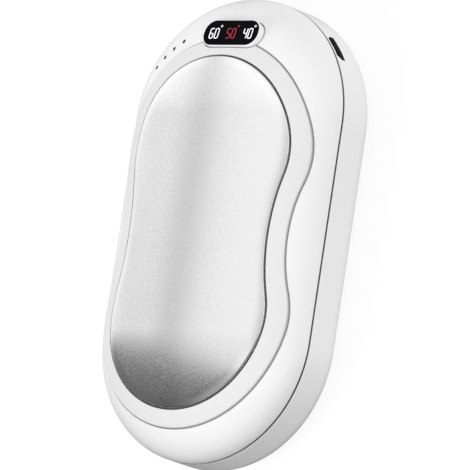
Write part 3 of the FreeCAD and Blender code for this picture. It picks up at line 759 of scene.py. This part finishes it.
def front_shell_rows(size):
    """Loops of points over the dome, round the inside and over the border, and their finishes."""
    rows = []
    paint = []

    def add(row, finish=PLAIN):
        rows.append(row)
        paint.append(finish)

    def add_dome(edge, outward, shares, offset):
        radius = HALF_WIDTH + offset
        start = dome_share(spine_distance(edge) / radius)
        for share in shares:
            row = out_to(edge, outward, radius * dome_reach(start * share))
            height = PARTING + (dome_height() + offset) * dome_rise(start * share)
            add(np.column_stack([row, height]))

    edge, outward = border_outline(size.groove_width + size.edge_round)
    add_dome(edge, outward, np.linspace(1, 0, DOME_ROWS), 0)
    inner, inner_out = plate_outline(-size.ledge)
    add_dome(inner, inner_out, np.linspace(0, 1, INSIDE_ROWS), -size.shell_wall)
    seat = size.plate_thickness - size.plate_proud + size.gasket
    add(on_dome(inner, -seat))
    add(on_dome(plate_outline(size.plate_gap)[0], -seat), BORDER)
    for run, drop in reversed(rounded_edge(size.edge_round / 2, 3)):
        add(on_dome(plate_outline(size.plate_gap + run)[0], size.border_rise - drop), BORDER)
    near, _ = plate_outline(size.plate_gap + size.edge_round)
    far, _ = border_outline(-2 * size.edge_round)
    for share in np.linspace(0, 1, BORDER_ROWS):
        add(on_dome(near * (1 - share) + far * share, size.border_rise), BORDER)
    for run, drop in rounded_edge(size.edge_round):
        add(on_dome(border_outline(-run)[0], size.border_rise - drop), BORDER)
    # The strip down the border's outer side gets the painted shade
    paint[-1] = SIDE
    # The groove's floor and outer wall get the painted shade
    for margin in (0, size.groove_width):
        add(on_dome(border_outline(margin)[0], -size.groove_depth), GROOVE)
    for run, drop in reversed(rounded_edge(size.edge_round)[1:]):
        add(on_dome(border_outline(size.groove_width + run)[0], -drop))
    return rows, np.array(paint)


def front_shell_cutters(size):
    """What the key's opening and the light holes take out of the front shell."""
    long = size.key_length + 2 * size.key_clearance
    wide = size.key_width + 2 * size.key_clearance
    deep = KEY_CUT * size.key_proud
    opening = pill(long, wide, size.key_corner + size.key_clearance)
    lights = [Matrix.Translation((x, y, 0)) for x, y in light_places()]
    return [prism(opening, [key_place()], -deep, deep),
            prism(circle(size.light_hole), lights, PARTING, 2 * PARTING)]


class WARMER_OT_rear_shell(bpy.types.Operator):
    """Builds the white rear shell with its rounded edge, plate seat, port and screw posts"""

    bl_idname = "warmer.rear_shell"
    bl_label = "Rear shell"

    def execute(self, context):
        size = sizes()
        colours = context.scene.warmer_colours
        rows = rear_shell_rows(size)
        paint = np.full(len(rows), PLAIN)
        # The first two strips line the gap between the shells, the next two round the lip; all four
        # get painted shade
        paint[:2] = GAP
        paint[2:4] = LIP
        piece = piece_from(
            "rear_shell_skin", strip_mesh(rows, True, paint),
            moulded("rear_white", colours.shell, roughness=0.34),
            # Painted shade: the lip's rounding is dark grey
            moulded("lip_grey", colours.seam, roughness=0.6),
            # Painted shade: the gap between the shells and the port's walls are near-black
            moulded("opening_black", shade(colours.seam, OPENING_SHADE), roughness=0.7))
        cut(piece, [port_cutter(size)], GAP)
        spots = [Matrix.Translation((place.x, place.y, 0)) for place in screw_places()]
        below = -REAR_BASE
        post = prism(circle(size.screw_post), spots,
                     REAR_BASE + size.shell_wall / 2, PARTING - size.gap_height)
        recess = prism(circle(size.screw_recess), spots, below, REAR_BASE + size.recess_depth)
        bore = prism(circle(size.screw_bore), spots, below, PARTING)
        cut(piece, [post], PLAIN, "UNION")
        cut(piece, [recess, bore], PLAIN)
        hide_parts("rear_shell")
        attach(piece, "housing")
        return {"FINISHED"}


# How far the middle of the lip's rounding lies from its corner, beside the rounding's size
LIP_BEND = 0.3


def rear_shell_rows(size):
    """Loops of points from the gap down the outside, over the back and up the inside."""
    seat_edge, outward = plate_outline(size.plate_gap)
    rim = out_to(seat_edge, outward, HALF_WIDTH)
    across = body_normal(rim)

    def inset(distance, height):
        return at_height(rim - across * distance, height)

    step_z = PARTING - size.gap_height
    rows = [inset(size.gap_depth, PARTING), inset(size.gap_depth, step_z)]
    lip = size.lip_round
    bend = lip * LIP_BEND
    rows += [inset(run, step_z - drop) for run, drop in ((lip, 0), (bend, bend), (0, lip))]
    wall_low = REAR_BASE + size.rear_edge
    for share in np.linspace(0, 1, WALL_ROWS)[1:-1]:
        rows.append(inset(0, step_z - lip + (wall_low - step_z + lip) * share))
    for angle in np.linspace(0, math.pi / 2, EDGE_ROWS):
        rows.append(inset(size.rear_edge * (1 - math.cos(angle)),
                          wall_low - size.rear_edge * math.sin(angle)))
    for run, drop in rounded_edge(size.edge_round, 3):
        rows.append(at_height(plate_outline(size.plate_gap + run)[0], REAR_BASE + drop))
    window, _ = plate_outline(-size.ledge)
    seat_z = BACK_TOP + size.gasket
    floor = REAR_BASE + size.shell_wall
    rows += [at_height(seat_edge, seat_z), at_height(window, seat_z), at_height(window, floor)]
    inner = size.rear_edge - size.shell_wall
    for angle in np.linspace(math.pi / 2, 0, INNER_EDGE_ROWS):
        rows.append(inset(size.shell_wall + inner * (1 - math.cos(angle)),
                          floor + inner * (1 - math.sin(angle))))
    rows.append(inset(size.shell_wall, PARTING))
    return rows


def port_cutter(size):
    """What the charging port takes out of the rear shell."""
    wide = size.port_width / 2 + size.port_clearance
    narrow = size.port_narrow / 2 + size.port_clearance
    tall = size.port_height / 2 + size.port_clearance
    outline = [(-wide, -tall), (wide, -tall), (wide, 0),
               (narrow, tall), (-narrow, tall), (-wide, 0)]
    deep = PORT_CUT * size.shell_wall
    return prism(outline, [port_place()], -deep, deep)


class WARMER_OT_heat_plates(bpy.types.Operator):
    """Builds the two waisted aluminium heating plates"""

    bl_idname = "warmer.heat_plates"
    bl_label = "Heating plates"

    def execute(self, context):
        size = sizes()
        metal = blasted("plate_aluminium", context.scene.warmer_colours.plate)
        proud = size.plate_proud
        front = plate_rows(size, lambda points, drop: on_dome(points, proud - drop),
                           lambda points: on_dome(points, proud - size.plate_thickness),
                           size.plate_roll_drop)
        rear = plate_rows(size, lambda points, drop: at_height(points, BACK_BASE + drop),
                          lambda points: at_height(points, BACK_TOP), 0)
        for node, rows in (("front_heat_plate", front), ("rear_heat_plate", rear)):
            piece = piece_from(node + "_skin", strip_mesh(rows, False), metal)
            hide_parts(node)
            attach(piece, "housing")
        return {"FINISHED"}


def plate_rows(size, face, back, roll_drop):
    """Loops of points from the middle of a plate's face over its rolled rim to its back."""
    spine = plate_spine()
    chamfer = size.plate_chamfer
    flat, _ = plate_outline(-chamfer - size.plate_roll)
    rows = [face(spine * (1 - share) + flat * share, 0) for share in np.linspace(0, 1, FACE_ROWS)]
    for share in np.linspace(0, 1, ROLL_ROWS)[1:]:
        row, _ = plate_outline(-chamfer - size.plate_roll * (1 - share))
        rows.append(face(row, roll_drop * share ** 2))
    for run, drop in rounded_edge(chamfer, 6)[1:]:
        rows.append(face(plate_outline(-run)[0], roll_drop + drop))
    rim, _ = plate_outline(0)
    for share in np.linspace(1, 0, BACK_ROWS):
        rows.append(back(spine * (1 - share) + rim * share))
    return rows


class WARMER_OT_display_key(bpy.types.Operator):
    """Gives the display key its finishes"""

    bl_idname = "warmer.display_key"
    bl_label = "Display key"

    def execute(self, context):
        colours = context.scene.warmer_colours
        dress("display_key_cap", moulded("key_white", colours.shell, roughness=0.3))
        dress("display_lens", polished("lens_black", colours.lens, roughness=0.1, specular=0.02))
        return {"FINISHED"}


def dress(node, material):
    """Gives a node of the frame a finish."""
    slots = frame["nodes"][node].data.materials
    slots.clear()
    slots.append(material)


class Nodes(Tree):
    """A geometry node tree with named inputs."""

    def __init__(self, name, inputs):
        super().__init__(bpy.data.node_groups.new(name, "GeometryNodeTree"))
        self.socket("Geometry", "INPUT", "Geometry")
        self.named = {words: self.socket(words, "INPUT", "Float") for words in inputs}
        self.socket("Geometry", "OUTPUT", "Geometry")
        self.source = self.tree.nodes.new("NodeGroupInput")
        self.sink = self.tree.nodes.new("NodeGroupOutput")

    def socket(self, words, way, kind):
        """Gives the tree an input or output and returns its identifier."""
        face = self.tree.interface
        return face.new_socket(words, in_out=way, socket_type="NodeSocket" + kind).identifier

    def size(self, words):
        """A named input."""
        return Value(self, self.source.outputs[words])

    def vector(self, x=0.0, y=0.0, z=0.0):
        """A vector from three values."""
        return self.node("ShaderNodeCombineXYZ", {"X": x, "Y": y, "Z": z})

    def lifted(self, geometry, height):
        """Geometry moved up."""
        return self.node("GeometryNodeTransform", {
            "Geometry": geometry, "Translation": self.vector(z=height)})

    def end(self, instances, material):
        """Realizes the instances, gives them their finish and ends the tree."""
        real = self.node("GeometryNodeRealizeInstances", {"Geometry": instances})
        done = self.node("GeometryNodeSetMaterial", {"Geometry": real, "Material": material})
        self.feed(self.sink.inputs[0], done)

    def run(self, piece, values):
        """Runs the tree on a piece, which it leaves a plain mesh."""
        modifier = piece.modifiers.new(self.tree.name, "NODES")
        modifier.node_group = self.tree
        for words, value in values.items():
            modifier[self.named[words]] = value
        finished(piece)


class WARMER_OT_display_figures(bpy.types.Operator):
    """Sets the three temperatures on the display"""

    bl_idname = "warmer.display_figures"
    bl_label = "Display figures"

    def execute(self, context):
        size = sizes()
        colours = context.scene.warmer_colours
        white = lit("figure_white", colours.figure)
        chosen = lit("figure_chosen", colours.figure_on)
        values = {"Stroke": size.digit_stroke, "Relief": size.digit_relief,
                  "Corner": size.digit_corner}
        for number, (pair, material) in enumerate((("60", white), ("50", chosen), ("40", white))):
            across = (number - 1) * size.digit_pitch
            piece = piece_from("figure_" + pair, figure_strokes(pair, size, across))
            stroke_tree(values, material).run(piece, values)
            piece.data.transform(key_place())
            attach(piece, "display_key")
        return {"FINISHED"}


# Steps round a figure's corner, and the weight of a degree ring's stroke beside a figure's
CORNER_STEPS = 6
RING_WEIGHT = 0.5

# The strokes of a figure, through its corners numbered in rows from the lower left
FIGURE_STROKES = {
    "0": ((4, 2, 0, 1, 3, 5, 4),),
    "4": ((4, 2, 3), (5, 1)),
    "5": ((5, 4, 2, 3, 1, 0),),
    "6": ((5, 4, 0, 1, 3, 2),),
}


def figure_strokes(pair, size, across):
    """The middle lines of two figures and their degree ring, as edges in the lens's plane."""
    lines = []
    for place, figure in enumerate(pair):
        left = across + (place - 0.5) * size.digit_step - size.digit_width / 2
        for stroke in FIGURE_STROKES[figure]:
            lines.append([(left + corner % 2 * size.digit_width,
                           (corner // 2 - 1) * size.digit_height / 2, 0) for corner in stroke])
    middle = across + size.degree_across
    half = size.degree_size / 2
    lines.append([(middle + x * half, size.degree_rise + y * half, 0)
                  for x, y in (*CORNERS, CORNERS[0])])
    points = []
    edges = []
    for line in lines:
        first = len(points)
        closed = line[0] == line[-1]
        points += line[:-1] if closed else line
        edges += [(number, number + 1) for number in range(first, len(points) - 1)]
        if closed:
            edges.append((len(points) - 1, first))
    mesh = bpy.data.meshes.new("figure")
    mesh.from_pydata(points, edges, [])
    weights = [1.0] * (len(points) - len(CORNERS)) + [RING_WEIGHT] * len(CORNERS)
    mesh.attributes.new("weight", "FLOAT", "POINT").data.foreach_set("value", weights)
    mesh.transform(Matrix.Translation((0, -size.digit_drop, 0)))
    return mesh


def stroke_tree(inputs, material):
    """The tree that gives a figure's middle lines their rounded corners and flat strokes."""
    nodes = Nodes("figure_strokes", inputs)
    lines = nodes.node("GeometryNodeMeshToCurve", {"Mesh": nodes.size("Geometry")})
    rounded = nodes.node("GeometryNodeFilletCurve", {
        "Curve": lines, "Count": CORNER_STEPS, "Radius": nodes.size("Corner"),
        "Limit Radius": True}, mode="POLY")
    level = nodes.node("GeometryNodeSetCurveNormal", {"Curve": rounded}, mode="Z_UP")
    profile = nodes.node("GeometryNodeCurvePrimitiveQuadrilateral", {
        "Width": nodes.size("Stroke"), "Height": nodes.size("Relief")})
    weight = nodes.node("GeometryNodeInputNamedAttribute", {"Name": "weight"}, data_type="FLOAT")
    strokes = nodes.node("GeometryNodeCurveToMesh", {
        "Curve": level, "Profile Curve": profile, "Scale": weight, "Fill Caps": True})
    nodes.end(strokes, material)
    return nodes


class WARMER_OT_closing_screws(bpy.types.Operator):
    """Sets the closing screws in their recesses"""

    bl_idname = "warmer.closing_screws"
    bl_label = "Closing screws"

    def execute(self, context):
        size = sizes()
        steel = brushed("screw_steel", record_tint("screw_steel"), roughness=0.35)
        mesh = bpy.data.meshes.new("closing_screws")
        mesh.from_pydata([(place.x, place.y, SCREW_LOW.z) for place in screw_places()], [], [])
        piece = piece_from("closing_screws", mesh)
        values = {"Head radius": size.screw_head / 2, "Head height": size.screw_head_height,
                  "Shank radius": size.screw_shank / 2,
                  "Shank length": SCREW_HIGH.z - SCREW_LOW.z - size.screw_head_height,
                  "Slot width": size.screw_slot, "Slot depth": size.screw_slot_depth}
        screw_tree(values, steel).run(piece, values)
        smooth(piece.data)
        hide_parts("shell_screws")
        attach(piece, "housing")
        return {"FINISHED"}


# A closing screw's sides, and shares of its head: the cone's end of its radius, then where the
# cone begins and the rim has its middle in its height
HEAD_SIDES = 40
SHANK_SIDES = 28
CONE_END = 0.5
CONE_FOOT = 0.25
RIM_MIDDLE = 0.75


def screw_tree(inputs, material):
    """The tree that sets a cross-head screw on each point, head down."""
    nodes = Nodes("closing_screws", inputs)
    radius = nodes.size("Head radius")
    height = nodes.size("Head height")
    shank_length = nodes.size("Shank length")
    slot_width = nodes.size("Slot width")
    slot_height = nodes.size("Slot depth") * 2.0
    cone = nodes.node("GeometryNodeMeshCone", {
        "Vertices": HEAD_SIDES, "Radius Top": radius, "Radius Bottom": radius * CONE_END,
        "Depth": height * 0.5})
    rim = nodes.node("GeometryNodeMeshCylinder", {
        "Vertices": HEAD_SIDES, "Radius": radius, "Depth": height * 0.5})
    shank = nodes.node("GeometryNodeMeshCylinder", {
        "Vertices": SHANK_SIDES, "Radius": nodes.size("Shank radius"), "Depth": shank_length})
    solids = [nodes.lifted(cone, height * CONE_FOOT), nodes.lifted(rim, height * RIM_MIDDLE),
              nodes.lifted(shank, height + shank_length * 0.5)]
    slots = [nodes.node("GeometryNodeMeshCube", {"Size": nodes.vector(x, y, slot_height)})
             for x, y in ((radius, slot_width), (slot_width, radius))]
    body = nodes.node("GeometryNodeMeshBoolean", {"Mesh 2": solids}, operation="UNION")
    screw = nodes.node("GeometryNodeMeshBoolean", {"Mesh 1": body, "Mesh 2": slots},
                       operation="DIFFERENCE")
    instances = nodes.node("GeometryNodeInstanceOnPoints", {
        "Points": nodes.size("Geometry"), "Instance": screw})
    nodes.end(instances, material)
    return nodes


class WARMER_OT_inner_pieces(bpy.types.Operator):
    """Gives the pieces inside the housing and in the port their finishes"""

    bl_idname = "warmer.inner_pieces"
    bl_label = "Inner pieces"

    def execute(self, context):
        made = {"screw_steel": bpy.data.materials["screw_steel"]}
        for slot, (kind, *settings) in INNER_FINISHES.items():
            tint = shade(record_tint(slot), INNER_SHADES.get(slot, 1))
            made[slot] = kind(slot, tint, *settings)
        for node, slot in NODE_SLOTS.items():
            if slot in made:
                dress(node, made[slot])
        return {"FINISHED"}


# Stage

# A floor that only the camera sees, just below the part: half its width, its height and its light
FLOOR_REACH = 4.0
FLOOR_LEVEL = -0.00005
FLOOR_LIGHT = 0.87
# The soft light from all round, and its dim zones, which shade the plate's lower end and the rear
# shell and keep the plate grey from other sides: a direction, the cosines with it at which a zone
# begins and is full, and its level
SKY_LEVEL = 1.12
SKY_ZONES = (
    ((-0.445, -0.875, 0.175), 0.345, 0.405, 0.145),
    ((0.109, -0.993, 0.041), -0.40, 0.02, 0.82),
    ((0.40, -0.90, -0.15), 0.47, 0.65, 0.25),
    ((0.05, -0.90, -0.42), 0.24, 0.52, 0.10),
    ((0.0, 0.0, -1.0), -0.05, 0.35, 0.92),
    ((0.75, 0.16, 0.64), 0.80, 0.95, 0.62),
    ((0.0, 0.96, 0.28), 0.84, 0.97, 0.66),
    ((-0.62, 0.16, -0.76), 0.86, 0.97, 0.3),
)
# A glow over the foot, which the plate shows from behind: as a zone, but added to the light
SKY_GLOW = ((0.35, -0.77, 0.53), 0.60, 0.88, 0.32)
# A narrow dim band: where it begins, is full and ends along the width, and its depth
SKY_BAND = (-0.72, -0.648, -0.56, 0.72)
# Soft lamps that fill the white shells: a direction, a distance and a power
SOFT_LAMPS = {
    "soft_left": ((-0.46, -0.50, 0.73), 1.3, 10.4),
    "soft_right": ((0.88, -0.34, 0.33), 1.3, 6.3),
}
LAMP_WIDTH = 0.9
# The camera's film, in millimetres
SENSOR_WIDTH = 36


class WARMER_OT_stage(bpy.types.Operator):
    """Sets up the floor, the light and the camera"""

    bl_idname = "warmer.stage"
    bl_label = "Stage"

    def execute(self, context):
        scene = context.scene
        scene.view_settings.view_transform = "Standard"
        make_floor()
        make_world(scene)
        make_lights(scene)
        make_camera(scene)
        return {"FINISHED"}


def make_floor():
    """A wide pale floor under the warmer."""
    mesh = bpy.data.meshes.new("floor")
    corners = [(x * FLOOR_REACH, y * FLOOR_REACH, FLOOR_LEVEL) for x, y in CORNERS]
    mesh.from_pydata(corners, [], [(0, 1, 2, 3)])
    finish = Finish("floor_pale", roughness=0.9, specular_ior_level=0.0,
                    emission_strength=FLOOR_LIGHT, emission_color=(1, 1, 1, 1))
    tone = finish.noise(grain=0.3, detail=1.0)
    finish.set(base_color=finish.mixed(tone, (0.12, 0.12, 0.12), (0.14, 0.14, 0.14)))
    floor = piece_from("floor", mesh, finish.material)
    floor.visible_diffuse = False
    floor.visible_glossy = False
    floor.visible_shadow = False


def make_world(scene):
    """Soft light from all round, with its band, its dim zones and its glow."""
    scene.world = bpy.data.worlds.new("studio")
    sky = Shading(scene.world, "Background")
    direction = sky.node("ShaderNodeTexCoord", output="Generated")

    def along(towards):
        inputs = {0: direction, 1: Vector(towards).normalized()}
        return sky.node("ShaderNodeVectorMath", inputs, "Value", operation="DOT_PRODUCT")

    begin, full, end, depth = SKY_BAND
    across = along((1, 0, 0))
    level = SKY_LEVEL * (1 - depth * (across.step(begin, full) * across.step(full, end, 1, 0)))
    for towards, first, last, dimmed in SKY_ZONES:
        level = level * along(towards).step(first, last, 1, dimmed)
    towards, first, last, glow = SKY_GLOW
    sky.set(strength=level + along(towards).step(first, last, 0, glow), color=(1, 1, 1, 1))


def make_lights(scene):
    """Large soft lamps over the front, which the metal doesn't mirror."""
    for name, (towards, distance, power) in SOFT_LAMPS.items():
        lamp = bpy.data.lights.new(name, "AREA")
        lamp.shape = "DISK"
        lamp.size = LAMP_WIDTH
        lamp.energy = power
        light = bpy.data.objects.new(name, lamp)
        light.location = Vector(towards).normalized() * distance
        light.rotation_euler = (-light.location).to_track_quat("-Z", "Y").to_euler()
        light.visible_glossy = False
        scene.collection.objects.link(light)


def make_camera(scene):
    """The photograph's view, from far away with a long lens."""
    stage = scene.warmer_stage
    camera = bpy.data.objects.new("camera", bpy.data.cameras.new("camera"))
    scene.collection.objects.link(camera)
    turned = Euler((stage.tip, stage.turn, stage.roll), "ZXY").to_matrix()
    right, upward, backward = turned.transposed()
    aim = Vector((0, 0, PARTING)) + right * stage.aim_right - upward * stage.aim_down
    camera.matrix_world = Matrix.Translation(aim + backward * stage.distance) @ turned.to_4x4()
    camera.data.sensor_width = SENSOR_WIDTH
    camera.data.lens = camera.data.sensor_width * stage.distance / stage.view_width
    camera.data.clip_end = 4 * stage.distance
    scene.camera = camera


class WARMER_PT_panel(bpy.types.Panel):
    """Lists the warmer's pieces in the sidebar"""

    bl_idname = "WARMER_PT_panel"
    bl_label = "Hand warmer"
    bl_space_type = "VIEW_3D"
    bl_region_type = "UI"
    bl_category = "Hand warmer"

    def draw(self, context):
        for operator in OPERATORS:
            self.layout.operator(operator.bl_idname)
        for name in GROUPS:
            settings = getattr(context.scene, name)
            for setting in settings.__annotations__:
                self.layout.prop(settings, setting)


OPERATORS = (
    WARMER_OT_front_shell,
    WARMER_OT_rear_shell,
    WARMER_OT_heat_plates,
    WARMER_OT_display_key,
    WARMER_OT_display_figures,
    WARMER_OT_closing_screws,
    WARMER_OT_inner_pieces,
    WARMER_OT_stage,
)
GROUPS = {
    "warmer_sizes": WarmerSizes,
    "warmer_colours": WarmerColours,
    "warmer_stage": WarmerStage,
}
CLASSES = (*GROUPS.values(), *OPERATORS, WARMER_PT_panel)


def register():
    """Registers the classes and the scene's settings."""
    for one in CLASSES:
        bpy.utils.register_class(one)
    for name, group in GROUPS.items():
        setattr(bpy.types.Scene, name, PointerProperty(type=group))


def unregister():
    """Takes back what register did."""
    for name in GROUPS:
        delattr(bpy.types.Scene, name)
    for one in reversed(CLASSES):
        bpy.utils.unregister_class(one)


def clear_start_file():
    """Removes what Blender's start file holds and the frame doesn't."""
    kept = set(frame["nodes"].values()) | set(frame["bodies"].values())
    for thing in list(bpy.data.objects):
        if thing not in kept:
            bpy.data.objects.remove(thing)


def main():
    """Builds the warmer round the frame."""
    clear_start_file()
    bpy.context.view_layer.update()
    register()
    for operator in OPERATORS:
        group, name = operator.bl_idname.split(".")
        getattr(getattr(bpy.ops, group), name)()


if __name__ == "__main__":
    main()
